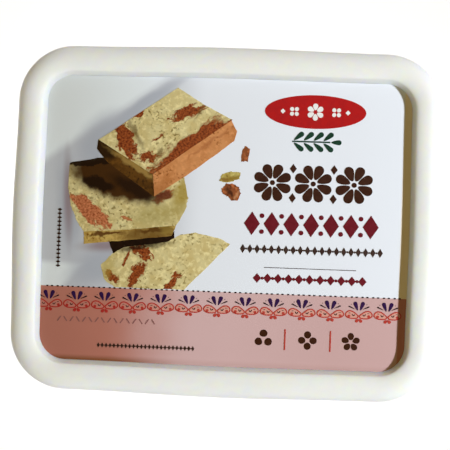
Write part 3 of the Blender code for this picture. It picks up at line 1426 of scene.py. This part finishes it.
@dataclass
class Picture:
    """The serving picture: three cut slices of marbled halva and their crumbs, as fields of colour."""

    gloss: FilmGloss
    cream: Colour = (0.66, 0.57, 0.285)
    straw: Colour = (0.58, 0.455, 0.185)
    olive_pit: Colour = (0.19, 0.13, 0.025)
    dusk: Colour = (0.050, 0.017, 0.003)
    cocoa: Colour = (0.010, 0.002, 0.001)

    def cut_face(
        self, name: str, patches: tuple[Oval, ...] = (), stains: tuple[Stain, ...] = (), ruddy: bool = False
    ) -> HalvaPrint:
        """Returns the look of a cut face with marbling.

        Args:
            name: the material's name.
            patches: its marbled patches.
            stains: the shadows and dark streaks that lie on it.
            ruddy: whether the marbling is the lighter, redder kind.

        Returns:
            The look.
        """
        kind = {"marble": (0.62, 0.215, 0.090), "deep_marble": (0.27, 0.060, 0.022)} if ruddy else {}
        return HalvaPrint(
            name, self.gloss, self.cream, self.straw, self.olive_pit, patches=patches, stains=stains, **kind
        )

    def sides(self) -> dict[str, HalvaPrint]:
        """Returns the looks of the slices' sides by name.

        Returns:
            The looks.
        """
        amber = HalvaPrint(
            "amber_side", self.gloss, (0.62, 0.270, 0.100), (0.52, 0.200, 0.064), (0.24, 0.07, 0.015), 1.10,
            stains=(
                Stain(Oval(-21.0, 10.0, 4.5, 2.0, 42), (0.38, 0.130, 0.034), 0.6, 0.7),
                Stain(Oval(-6.0, 24.6, 9.0, 0.5, 38), (0.40, 0.135, 0.045), 0.6, 0.6),
            ),
        )
        umber = HalvaPrint(
            "umber_side", self.gloss, (0.110, 0.044, 0.006), (0.062, 0.022, 0.003), (0.020, 0.006, 0.001),
            stains=(
                Stain(Oval(-39.5, 21.8, 4.2, 2.6, -35), (0.014, 0.004, 0.001), 0.9, 0.35),
                Stain(Oval(-27.6, 16.0, 10.5, 1.0, -31), (0.34, 0.210, 0.055), 0.85, 0.5),
            ),
        )
        ochre = HalvaPrint(
            "ochre_side", self.gloss, (0.52, 0.36, 0.10), (0.42, 0.26, 0.06), (0.20, 0.08, 0.012),
            stains=(
                Stain(Oval(-37.4, -5.0, 5.4, 0.55, 5), (0.085, 0.022, 0.004), 0.9, 0.35),
                Stain(Oval(-21.6, -3.2, 5.6, 0.60, 7), (0.045, 0.011, 0.002), 0.95, 0.35),
                Stain(Oval(-23.0, -4.5, 10.0, 2.4, 7), (0.115, 0.048, 0.007), 0.8, 0.5),
                Stain(Oval(-17.5, -3.2, 2.2, 1.6, 0), (0.30, 0.20, 0.04), 0.6, 0.4),
            ),
        )
        return {"amber": amber, "umber": umber, "ochre": ochre}

    def front(self) -> list[PictureSlice]:
        """Returns the nearest slice, which lies flat at the foot of the picture.

        Returns:
            The slice alone.
        """
        patches = (
            Oval(-25.9, -10.2, 3.4, 1.9, -38),
            Oval(-27.4, -17.6, 4.4, 1.7, 62),
            Oval(-16.0, -19.6, 4.0, 1.2, 48),
            Oval(-35.0, -18.2, 2.6, 1.1, -35),
            Oval(-30.5, -12.0, 3.0, 0.5, 70),
        )
        stains = (
            Stain(Oval(-25.5, -8.4, 8.0, 0.9, 8), self.cocoa, 0.85, 0.6),
            Stain(Oval(-36.6, -16.0, 1.8, 4.5, -12), (0.42, 0.30, 0.055), 0.5, 0.5),
        )
        outline = [
            (-38.8, -14.9), (-37.4, -19.6), (-33.8, -21.7), (-12.1, -21.7), (1.9, -6.9), (-1.0, -5.2),
            (-9.0, -3.6), (-13.8, -4.4), (-17.9, -6.8), (-25.0, -8.0), (-31.6, -8.9), (-35.2, -11.2),
        ]
        look = self.cut_face("front_slice", patches, stains)
        return [PictureSlice("picture_front_slice", outline, Layer.FIELD, look, 11)]

    def back(self, side: HalvaPrint) -> list[PictureSlice]:
        """Returns the slice behind it and its side.

        Args:
            side: the side's look.

        Returns:
            The cut face and the side.
        """
        patches = (
            Oval(-42.3, 1.6, 7.0, 2.7, -40),
            Oval(-19.6, 7.6, 3.0, 1.5, 30),
            Oval(-31.0, 0.2, 1.6, 0.6, -20),
        )
        stains = (
            Stain(Oval(-34.8, 12.3, 15.4, 5.9, -15), self.dusk, 1.0, 0.26),
            Stain(Oval(-40.5, 10.9, 5.6, 1.8, -14), self.cocoa, 0.95, 0.25),
            Stain(Oval(-29.0, 9.6, 7.5, 2.2, -27), self.cocoa, 0.85, 0.5),
            Stain(Oval(-43.0, 18.0, 8.5, 1.5, 4), self.cocoa, 0.97, 0.15),
            Stain(Oval(-19.4, 7.6, 3.4, 1.5, 28), (0.10, 0.022, 0.010), 0.85, 0.4),
            Stain(Oval(-13.6, 8.8, 2.6, 5.5, -20), (0.34, 0.235, 0.030), 0.8, 0.6),
            Stain(Oval(-21.5, 1.6, 8.0, 3.4, 8), (0.30, 0.24, 0.055), 0.55, 0.7),
        )
        outline = [
            (-49.9, 17.2), (-50.0, 9.0), (-49.0, 3.6), (-46.8, -1.4), (-44.4, -4.7), (-30.0, -3.4),
            (-15.2, -1.6), (-12.6, 3.4), (-11.8, 7.0), (-13.2, 13.6), (-24.0, 21.0), (-41.0, 18.9),
        ]
        side_outline = [
            (-44.6, -4.5), (-44.3, -8.3), (-30.0, -6.6), (-16.6, -4.9), (-15.2, -1.5), (-30.0, -3.3),
        ]
        look = self.cut_face("back_slice", patches, stains, ruddy=True)
        return [
            PictureSlice("picture_back_slice", outline, Layer.FIELD, look, 12, jitter=0.24),
            PictureSlice("picture_back_side", side_outline, Layer.FRONT, side, 13),
        ]

    def top(self, left: HalvaPrint, right: HalvaPrint) -> list[PictureSlice]:
        """Returns the slice that lies on the others, and its sides.

        Args:
            left: the left side's look.
            right: the right side's look.

        Returns:
            The sides and the cut face.
        """
        patches = (
            Oval(-32.4, 25.2, 6.4, 2.5, -66),
            Oval(-24.8, 20.1, 3.4, 1.5, 10),
            Oval(-13.2, 34.0, 5.6, 1.7, 22),
            Oval(-10.2, 23.4, 16.4, 4.4, 36.5, 0.34),
            Oval(-28.4, 33.4, 1.8, 0.8, 30),
            Oval(-22.0, 26.0, 2.4, 0.35, 40),
        )
        stains = (
            Stain(Oval(-29.4, 27.4, 4.5, 0.7, -62), (0.10, 0.055, 0.012), 0.7, 0.7),
            Stain(Oval(-9.2, 34.4, 2.6, 0.5, 60), (0.13, 0.07, 0.015), 0.6, 0.7),
            Stain(Oval(-21.3, 21.5, 1.6, 0.5, 70), (0.13, 0.07, 0.015), 0.7, 0.6),
        )
        left_outline = [(-41.0, 24.9), (-41.3, 21.9), (-37.8, 17.7), (-22.6, 7.3), (-23.2, 14.5)]
        right_outline = [
            (-23.4, 14.5), (-22.8, 7.3), (-13.3, 13.8), (-3.0, 21.6), (2.1, 25.8), (2.9, 28.6), (0.9, 32.4),
        ]
        outline = [(-40.9, 24.8), (-23.25, 14.3), (1.3, 32.4), (-8.0, 37.0), (-16.2, 42.0)]
        look = self.cut_face("top_slice", patches, stains)
        return [
            PictureSlice("picture_top_left_side", left_outline, Layer.FRONT, left, 14, jitter=0.08),
            PictureSlice("picture_top_right_side", right_outline, Layer.FRONT, right, 15, jitter=0.10),
            PictureSlice("picture_top_slice", outline, Layer.DETAIL, look, 16, jitter=0.12),
        ]

    def crumbs(self) -> list[bpy.types.Object]:
        """Prints the loose crumbs beside the slices.

        Returns:
            The yellow crumb and the brown ones.
        """
        golden = HalvaPrint(
            "yellow_crumb", self.gloss, (0.50, 0.42, 0.13), (0.40, 0.28, 0.06), self.olive_pit,
            stains=(
                Stain(Oval(2.4, 13.7, 2.6, 0.8, 15), (0.24, 0.14, 0.014), 0.8, 0.6),
                Stain(Oval(-0.6, 13.2, 1.4, 0.5, -10), (0.22, 0.11, 0.02), 0.8, 0.6),
            ),
        )
        dark = HalvaPrint(
            "brown_crumb", self.gloss, (0.30, 0.090, 0.030), (0.15, 0.036, 0.010), (0.04, 0.008, 0.003), 1.6,
            stains=(
                Stain(Oval(1.0, 9.4, 1.8, 0.8, -50), (0.045, 0.010, 0.004), 0.85, 0.5),
                Stain(Oval(3.6, 8.6, 1.4, 0.6, 60), (0.60, 0.30, 0.14), 0.6, 0.6),
            ),
        )
        yellow_outline = [
            (-2.1, 13.2), (-0.4, 12.5), (1.8, 12.9), (4.0, 13.8), (4.5, 15.8), (3.0, 16.0), (0.6, 15.9),
            (-1.2, 15.2),
        ]
        brown_outlines = [
            [(-1.4, 10.6), (-0.9, 9.0), (0.8, 8.2), (2.0, 6.8), (3.9, 7.0), (4.9, 9.4), (4.0, 11.2),
             (2.0, 12.3), (0.2, 12.2)],
            [(4.5, 19.2), (6.6, 19.4), (7.2, 23.4), (5.6, 24.2), (4.7, 22.6)],
        ]
        yellow = [Stamp.field(yellow_outline, 4, 0.30, 21)]
        pieces = [print_layer("crumb_yellow", yellow, Layer.FRONT, golden.make())]
        brown = [Stamp.field(outline, 4, 0.30, 22 + index) for index, outline in enumerate(brown_outlines)]
        pieces.append(print_layer("crumb_brown", brown, Layer.FRONT, dark.make()))
        return pieces

    def build(self) -> list[bpy.types.Object]:
        """Prints the shadow between the slices, the slices and the crumbs.

        Returns:
            The printed pieces, from the lowest up.
        """
        sides = self.sides()
        plum = Ink("plum_shadow", self.gloss, (0.006, 0.001, 0.001), (0.020, 0.006, 0.003))
        gap_outline = [
            (-36.5, -7.2), (-34.9, -11.4), (-31.0, -10.6), (-25.0, -9.6), (-17.9, -8.0), (-15.6, -6.2),
            (-15.8, -3.4), (-30.0, -5.0),
        ]
        gap = Stamp.field(gap_outline, 5, 0.3, 3)
        pieces = [print_layer("picture_gap_shadow", [gap], Layer.GROUND, plum.make())]
        slices = self.front() + self.back(sides["ochre"]) + self.top(sides["umber"], sides["amber"])
        pieces += [piece.build() for piece in slices]
        return pieces + self.crumbs()


@dataclass(frozen=True)
class BeadRow:
    """A straight row of beads in mm: its first and last centres, a bead's length and width, and the pitch."""

    start: Point
    end: Point
    size: Point
    pitch: float


@dataclass
class Ornaments:
    """The plain ornaments: a badge, a sprig, rosettes and lozenges, and rows of beads, dashes and rules."""

    inks: dict[str, Ink]
    badge_place: Point = (27.3, 35.6)
    badge_height: float = 5.3
    badge_stretch: float = 3.0
    flower_radius: float = 2.7
    side_flower: Point = (6.6, 1.7)
    end_lozenge: Point = (10.2, 1.6)
    stem_place: Point = (26.3, 26.2)
    stem_size: Point = (12.0, 0.5)
    leaf_size: Point = (0.8, 3.0)
    first_leaf: float = -5.4
    leaf_pitch: float = 3.1
    leaf_turn: float = 40.0
    end_leaf: Point = (6.3, 2.4)
    petal_fullness: float = 0.84
    petal_start: float = 0.22
    rosette_row: Point = (14.6, 13.0)
    rosette_pitch: float = 12.8
    rosette_radius: float = 6.1
    rosette_heart: float = 0.8
    between_reach: float = 4.6
    between_size: Point = (2.2, 3.0)
    band_row: float = -36.1
    band_places: Sequence[float] = (13.5, 27.3, 40.8)
    band_radius: float = 2.9
    rule_places: Sequence[float] = (20.2, 34.4)
    rule_size: Point = (0.46, 6.6)
    lozenge_row: Point = (8.6, 0.0)
    lozenge_pitch: float = 6.2
    lozenge_size: Point = (5.0, 7.4)
    spot_reach: float = 2.5
    spot_radius: float = 0.75
    maroon_beads: BeadRow = BeadRow((10.8, -17.1), (43.8, -17.1), (2.6, 3.0), 3.3)
    grey_rule: Sequence[float] = (27.3, -13.7, 28.8, 0.22)
    grey_beads: Sequence[BeadRow] = (
        BeadRow((6.0, -8.0), (49.0, -8.0), (1.7, 2.8), 2.26),
        BeadRow((-38.6, -40.1), (-8.6, -40.1), (0.95, 1.6), 1.25),
        BeadRow((-52.4, -15.5), (-52.4, 2.3), (0.95, 1.6), 1.24),
    )
    bead_spot: float = 0.19
    zigzag_row: Point = (-51.4, -32.2)
    zigzag_pitch: float = 2.0
    zigzag_bars: int = 16
    zigzag_size: Point = (1.9, 0.34)
    zigzag_turns: Point = (55, -55)

    def rosette(
        self, x: float, y: float, petals: int, radius: float, turn: float = 0.0
    ) -> list[bpy.types.Object]:
        """Prints a ring of drops.

        Args:
            x: the centre's x in millimetres.
            y: the centre's y in millimetres.
            petals: how many drops there are.
            radius: the outer radius in millimetres.
            turn: the first drop's turn in degrees.

        Returns:
            The flat shapes.
        """
        spread = self.petal_fullness * math.sin(math.pi / petals)
        head = spread * radius / (1 + spread)
        start = radius * self.petal_start
        petal = Stamp.drop(0, start, head, radius - head - start, 0)
        shapes = [copied(petal, x, y, turn + 360 * index / petals) for index in range(petals)]
        bpy.data.objects.remove(petal, do_unlink=True)
        return shapes

    @staticmethod
    def lozenge(x: float, y: float, width: float, height: float) -> bpy.types.Object:
        """Prints a lozenge.

        Args:
            x: the centre's x in millimetres.
            y: the centre's y in millimetres.
            width: its width in millimetres.
            height: its height in millimetres.

        Returns:
            The flat shape.
        """
        return Stamp.field([(x - width / 2, y), (x, y - height / 2), (x + width / 2, y), (x, y + height / 2)])

    def beads(self, row: BeadRow) -> list[bpy.types.Object]:
        """Prints a row of lozenges with a spot between each two.

        Args:
            row: where the row lies and how large and far apart its lozenges are.

        Returns:
            The flat shapes.
        """
        run = Vector(row.end) - Vector(row.start)
        turn = math.degrees(math.atan2(run.y, run.x))
        steps = 2 * round(run.length / row.pitch)
        bead = self.lozenge(0, 0, *row.size)
        spot = Stamp.disc(0, 0, self.bead_spot * row.size[0], 10)
        shapes = []
        for index in range(steps + 1):
            place = Vector(row.start) + run * (index / steps)
            shapes.append(copied(spot if index % 2 else bead, place.x, place.y, turn))
        for shape in (bead, spot):
            bpy.data.objects.remove(shape, do_unlink=True)
        return shapes

    def badge(self) -> list[bpy.types.Object]:
        """Prints the red badge, its pale flower, and the green sprig under it.

        Returns:
            The printed pieces.
        """
        x, y = self.badge_place
        oval = Stamp.disc(0, 0, self.badge_height, 48)
        oval.scale = (self.badge_stretch, 1, 1)
        oval.location = (x * MM, y * MM, 0)
        bpy.ops.object.transform_apply(location=True, rotation=True, scale=True)
        pieces = [print_layer("badge_red", [oval], Layer.FIELD, self.inks["crimson"].make())]
        flower_reach, flower_radius = self.side_flower
        end_reach, end_size = self.end_lozenge
        petals = self.rosette(x, y, 6, self.flower_radius)
        for side in (-1, 1):
            petals += self.rosette(x + side * flower_reach, y, 4, flower_radius, 45)
            petals.append(self.lozenge(x + side * end_reach, y, end_size, end_size))
        pieces.append(print_layer("badge_white", petals, Layer.DETAIL, self.inks["white"].make()))
        stem_x, stem_y = self.stem_place
        radius, tip = self.leaf_size
        leaves = [Stamp.bar(stem_x, stem_y, *self.stem_size)]
        for index in range(4):
            leaf_x = stem_x + self.first_leaf + self.leaf_pitch * index
            for side in (-1, 1):
                turn = side * self.leaf_turn - 90
                leaves.append(Stamp.drop(leaf_x, stem_y + side * radius / 2, radius, tip, turn))
        end_reach, end_tip = self.end_leaf
        leaves.append(Stamp.drop(stem_x + end_reach, stem_y, radius, end_tip, -90))
        pieces.append(print_layer("badge_sprig", leaves, Layer.FRONT, self.inks["green"].make()))
        return pieces

    def brown_shapes(self) -> list[bpy.types.Object]:
        """Returns the row of rosettes with the lozenges between them, and the small rosettes in the band.

        Returns:
            The flat shapes.
        """
        shapes = []
        row_x, row_y = self.rosette_row
        for index in range(3):
            x = row_x + self.rosette_pitch * index
            shapes += self.rosette(x, row_y, 8, self.rosette_radius, 22.5)
            shapes.append(Stamp.disc(x, row_y, self.rosette_heart))
        for index in range(2):
            x = row_x + self.rosette_pitch * (index + 0.5)
            for side in (1, -1):
                shapes.append(self.lozenge(x, row_y + side * self.between_reach, *self.between_size))
        for index, x in enumerate(self.band_places):
            shapes += self.rosette(x, self.band_row, 3 + index, self.band_radius)
        return shapes

    def maroon_shapes(self) -> list[bpy.types.Object]:
        """Returns the row of lozenges with the spots between them, and the beads under it.

        Returns:
            The flat shapes.
        """
        row_x, row_y = self.lozenge_row
        places = [row_x + self.lozenge_pitch * index for index in range(7)]
        shapes = [self.lozenge(x, row_y, *self.lozenge_size) for x in places]
        for x in places[:-1]:
            for side in (1, -1):
                y = row_y + side * self.spot_reach
                shapes.append(Stamp.disc(x + self.lozenge_pitch / 2, y, self.spot_radius))
        return shapes + self.beads(self.maroon_beads)

    def grey_shapes(self) -> list[bpy.types.Object]:
        """Returns the rule and the rows of small beads.

        Returns:
            The flat shapes.
        """
        shapes = [Stamp.bar(*self.grey_rule)]
        for row in self.grey_beads:
            shapes += self.beads(row)
        return shapes

    def zigzag(self) -> list[bpy.types.Object]:
        """Returns the faint zigzag in the band.

        Returns:
            The flat shapes.
        """
        start, y = self.zigzag_row
        shapes = []
        for index in range(self.zigzag_bars):
            x = start + self.zigzag_pitch * index
            shapes.append(Stamp.bar(x, y, *self.zigzag_size, self.zigzag_turns[index % 2]))
        return shapes

    def band_rules(self) -> list[bpy.types.Object]:
        """Returns the two upright rules in the band."""
        return [Stamp.bar(x, self.band_row, *self.rule_size) for x in self.rule_places]

    def build(self) -> list[bpy.types.Object]:
        """Prints every ornament.

        Returns:
            The printed pieces.
        """
        pieces = self.badge()
        for name, ink, make in (
            ("ornament_brown", "brown", self.brown_shapes),
            ("ornament_maroon", "maroon", self.maroon_shapes),
            ("ornament_grey", "grey", self.grey_shapes),
            ("ornament_faint", "mauve", self.zigzag),
            ("band_rules", "red", self.band_rules),
        ):
            pieces.append(print_layer(name, make(), Layer.FRONT, self.inks[ink].make()))
        return pieces


@dataclass(frozen=True)
class Light:
    """A studio light: where it stands and what it faces in metres, its power in watts and its colour."""

    name: str
    place: Place
    target: Place
    power: float
    colour: Colour

    def aim(self, data: bpy.types.Light) -> bpy.types.Object:
        """Places the light and turns it to its target.

        Args:
            data: the lamp, shaped already.

        Returns:
            The light.
        """
        data.energy = self.power
        data.color = self.colour
        light = bpy.data.objects.new(self.name, data)
        light.location = self.place
        way = Vector(self.target) - Vector(self.place)
        light.rotation_euler = way.to_track_quat("-Z", "Y").to_euler()
        bpy.context.scene.collection.objects.link(light)
        return light


@dataclass(frozen=True)
class Panel(Light):
    """A rectangular light, with its width and height in metres."""

    size: Point

    def hang(self) -> bpy.types.Object:
        """Hangs the light and returns it.

        Returns:
            The light.
        """
        data = bpy.data.lights.new(self.name, "AREA")
        data.shape = "RECTANGLE"
        data.size, data.size_y = self.size
        return self.aim(data)


@dataclass(frozen=True)
class Spot(Light):
    """A round light whose narrow soft edge crosses the lid, so that the print's left side gets less."""

    angle: float = 50.0
    edge: float = 0.022
    bulb: float = 0.02

    def hang(self) -> bpy.types.Object:
        """Hangs the light and returns it.

        Returns:
            The light.
        """
        data = bpy.data.lights.new(self.name, "SPOT")
        data.spot_size = math.radians(self.angle)
        data.spot_blend = self.edge
        data.shadow_soft_size = self.bulb
        return self.aim(data)


@dataclass
class Studio:
    """The pale floor, the lights, the dim warm room and the camera that looks down on the lid."""

    lens: float = 100.0
    sensor: float = 36.0
    distance: float = 407.8 * MM
    look_height: float = HEIGHT - 17.0 * MM
    turn: Point = (-0.66, -3.10)
    roll: float = -2.06
    offset: Point = (0.66 * MM, 0.64 * MM)
    floor_radius: float = 4.0
    floor_drop: float = 0.02 * MM
    floor_tones: tuple[Colour, Colour] = ((0.86, 0.86, 0.86), (0.90, 0.90, 0.90))
    floor_glow: Colour = (0.925, 0.94, 1.0)
    floor_strength: float = 0.90
    floor_roughness: Point = (0.7, 0.8)
    floor_grain: float = 0.01 * MM
    low_light: Panel = Panel("low_light", LOW_PLACE, MIDDLE, 4.7, LOW_COLOUR, (0.25, 0.030))
    low_spot: Spot = Spot("low_spot", LOW_PLACE, (0.501, 0.0, FILM_TOP), 49.3, LOW_COLOUR)
    rim_light: Panel = Panel(
        "rim_light", (0.660, -0.060, 0.775), MIDDLE, 9.6, (0.915, 0.965, 1.02), (0.16, 0.16)
    )
    front_fill: Panel = Panel(
        "front_fill", (-0.32, -0.62, 0.14), MIDDLE, 0.62, (0.90, 0.99, 1.0), (0.50, 0.22)
    )
    sheen: Panel = Panel(
        "overhead_sheen", (0.16, 0.16, 1.2), (0.12, 0.12, 0.0), 0.25, (0.9, 0.95, 1.0), (0.55, 0.50)
    )
    room_floor: Colour = (0.86, 0.86, 0.84)
    room_walls: Colour = (0.195, 0.140, 0.038)
    room_fade: Point = (0.02, 0.15)
    printed_depth: float = 0.5 * MM

    def camera(self) -> bpy.types.Object:
        """Places the camera at the picture's viewing angle and makes it the scene's.

        Returns:
            The camera.
        """
        roll = Matrix.Rotation(math.radians(self.roll), 3, "Z")
        tip = Matrix.Rotation(math.radians(self.turn[0]), 3, "X")
        lean = Matrix.Rotation(math.radians(self.turn[1]), 3, "Y")
        facing = (roll @ tip @ lean).transposed()
        data = bpy.data.cameras.new("camera")
        data.lens = self.lens
        data.sensor_width = self.sensor
        camera = bpy.data.objects.new("camera", data)
        stand = Vector((0, 0, self.look_height))
        stand += facing @ Vector((-self.offset[0], -self.offset[1], self.distance))
        camera.matrix_world = Matrix.Translation(stand) @ facing.to_4x4()
        bpy.context.scene.collection.objects.link(camera)
        bpy.context.scene.camera = camera
        return camera

    def floor(self) -> bpy.types.Object:
        """Lays a wide pale floor that glows a little, as a lit table does.

        Returns:
            The floor.
        """
        bench = Bench("floor")
        bpy.ops.mesh.primitive_circle_add(
            vertices=64, radius=self.floor_radius, fill_type="NGON", location=(0, 0, -self.floor_drop)
        )
        bench.take()
        floor = bench.close()
        sketch = NodeSketch("pale_floor")
        sketch.shader.inputs["Emission Color"].default_value = (*self.floor_glow, 1.0)
        sketch.shader.inputs["Emission Strength"].default_value = self.floor_strength
        tone = sketch.blend(sketch.noise(4, 2), *self.floor_tones)
        wear = sketch.remap(sketch.noise(30, 2), (0, 1), self.floor_roughness)
        grain = sketch.bump(sketch.noise(300, 2), self.floor_grain, 0.1)
        floor.data.materials.append(sketch.finish(tone, wear, grain))
        return floor

    @staticmethod
    def link_light(light: bpy.types.Object, pieces: Sequence[bpy.types.Object], reach: Reach) -> None:
        """Lets a light fall on some pieces alone, or on all but them, as cards and screens do.

        Args:
            light: the light.
            pieces: the pieces that it is held to or kept off.
            reach: which of the two it is.
        """
        cards = bpy.data.collections.new(f"{light.name}_cards")
        for piece in pieces:
            cards.objects.link(piece)
        for entry in cards.collection_objects:
            entry.light_linking.link_state = reach.value
        light.light_linking.receiver_collection = cards

    def printed(self) -> list[bpy.types.Object]:
        """Returns the film and the inks, which are the pieces that lie wholly on the lid's panel.

        Returns:
            The pieces.
        """
        lowest = FILM_TOP - self.printed_depth
        meshes = [item for item in bpy.context.scene.objects if item.type == "MESH"]
        return [item for item in meshes if min(corner[2] for corner in item.bound_box) > lowest]

    def lights(self, floor: bpy.types.Object) -> None:
        """Hangs the low lights on the print alone, a higher one on the plastic alone, and the fills.

        Args:
            floor: the floor, which glows by itself and gets none of those three.
        """
        printed = self.printed()
        for light in (self.low_light.hang(), self.low_spot.hang()):
            self.link_light(light, printed, Reach.ONLY)
            light.visible_glossy = False
        self.link_light(self.rim_light.hang(), [*printed, floor], Reach.ALL_BUT)
        self.front_fill.hang()
        self.sheen.hang().visible_diffuse = False

    def room(self) -> None:
        """Makes the dim warm room, which is pale at the height of the floor."""
        world = bpy.data.worlds.new("room")
        bpy.context.scene.world = world
        world.use_nodes = True
        tree = world.node_tree
        back = tree.nodes["Background"]
        place = tree.nodes.new("ShaderNodeTexCoord")
        split = tree.nodes.new("ShaderNodeSeparateXYZ")
        ramp = tree.nodes.new("ShaderNodeValToRGB")
        for element, position, colour in zip(
            ramp.color_ramp.elements, self.room_fade, (self.room_floor, self.room_walls)
        ):
            element.position = position
            element.color = (*colour, 1.0)
        tree.links.new(place.outputs["Generated"], split.inputs[0])
        tree.links.new(split.outputs["Z"], ramp.inputs["Fac"])
        tree.links.new(ramp.outputs["Color"], back.inputs["Color"])
        back.inputs["Strength"].default_value = 1.0

    def build(self) -> list[bpy.types.Object]:
        """Sets up the whole studio.

        Returns:
            The floor alone.
        """
        self.camera()
        floor = self.floor()
        self.lights(floor)
        self.room()
        bpy.context.scene.view_settings.view_transform = "Standard"
        return [floor]


def print_inks(gloss: FilmGloss) -> dict[str, Ink]:
    """Returns the inks by name.

    Args:
        gloss: the film's gloss, which every ink shares.

    Returns:
        The inks.
    """
    # the red and the peach have a third, darker colour: painted shade towards the left
    colours = {
        "red": ((0.44, 0.040, 0.030), (0.50, 0.085, 0.060), (0.42, 0.030, 0.026)),
        "peach": ((0.66, 0.33, 0.265), (0.64, 0.30, 0.24), (0.52, 0.195, 0.150)),
        "violet": ((0.022, 0.004, 0.055), (0.045, 0.012, 0.075)),
        "black": ((0.012, 0.005, 0.012), (0.05, 0.025, 0.035)),
        "crimson": ((0.44, 0.006, 0.008), (0.34, 0.005, 0.010)),
        "white": ((0.86, 0.85, 0.84), (0.80, 0.78, 0.76)),
        "green": ((0.004, 0.035, 0.018), (0.012, 0.06, 0.035)),
        "brown": ((0.035, 0.008, 0.003), (0.055, 0.016, 0.008)),
        "maroon": ((0.13, 0.004, 0.012), (0.17, 0.010, 0.022)),
        "grey": ((0.035, 0.016, 0.013), (0.07, 0.040, 0.035)),
        "mauve": ((0.24, 0.105, 0.105), (0.36, 0.150, 0.130)),
    }
    return {name: Ink(f"{name}_ink", gloss, *shades) for name, shades in colours.items()}


def main() -> None:
    """Builds the tub, the lid, the film and its print, and then the studio."""
    logging.basicConfig(level=logging.INFO, format="%(name)s %(message)s")
    plan = PlanShape()
    gloss = FilmGloss()
    inks = print_inks(gloss)
    border = Border(inks)
    film = Film(plan, FilmPrint("printed_film", gloss, border.line * MM))
    satin = (0.46, 0.55)
    lid_plastic = MouldedPlastic("lid_cream_plastic", (0.955, 0.985, 0.95), (0.945, 0.975, 0.935), satin)
    # painted shade: the tub is the lid's cream plastic painted darker, so that its walls stay below white in
    # the light
    tub_plastic = MouldedPlastic("tub_shaded_cream_plastic", (0.70, 0.725, 0.66), (0.68, 0.705, 0.64), satin)
    lid = Lid(plan, LID_LOW.z, film.bed, lid_plastic)
    for part in (Tub(plan, tub_plastic), lid, film, border, Picture(gloss), Ornaments(inks), Studio()):
        for piece in part.build():
            LOG.info("%s: %d faces", piece.name, len(piece.data.polygons))


if __name__ == "__main__":
    main()
